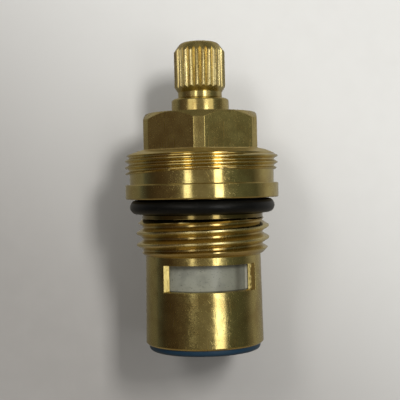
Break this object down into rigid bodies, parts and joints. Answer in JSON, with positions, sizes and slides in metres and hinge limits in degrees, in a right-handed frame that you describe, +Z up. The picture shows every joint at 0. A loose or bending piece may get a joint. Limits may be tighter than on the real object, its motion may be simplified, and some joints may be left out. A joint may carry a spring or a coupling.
{
  "type": "ceramic disc tap cartridge",
  "caption": "Quarter-turn tap cartridge: brass body with hexagon, flange, two threads and windowed sleeve, splined spindle, ceramic discs and rubber seal.",
  "frame": {"origin": "centre of the seal's lower face, on the axis of the spindle", "axes": "+Z up the spindle towards the handle, the two outlet windows face along +Y and -Y, +X completes the right-handed frame"},
  "size_m": [0.024, 0.024, 0.048],
  "materials": {
    "body_brass": "turned brass, slightly tarnished",
    "spindle_brass": "turned and rolled brass, bright on the spline",
    "black_rubber": "satin",
    "blue_rubber": "satin",
    "white_ceramic": "ground alumina, lapped faces",
    "white_plastic": "plain moulded"
  },
  "bodies": {
    "housing": {"cartridge_body": "body_brass", "body_o_ring": "black_rubber", "fixed_disc": "white_ceramic", "seal": "blue_rubber", "seal_support_ring": "white_plastic"},
    "spindle_set": {"spindle": "spindle_brass", "spindle_o_ring_upper": "black_rubber", "spindle_o_ring_lower": "black_rubber", "friction_washer": "white_plastic", "moving_disc": "white_ceramic"}
  },
  "joints": [
    {"name": "spindle_turn", "type": "hinge", "parent": "housing", "child": "spindle_set", "pos_m": [0, 0, 0.035], "axis": [0, 0, 1], "range_deg": [0, 90]}
  ]
}
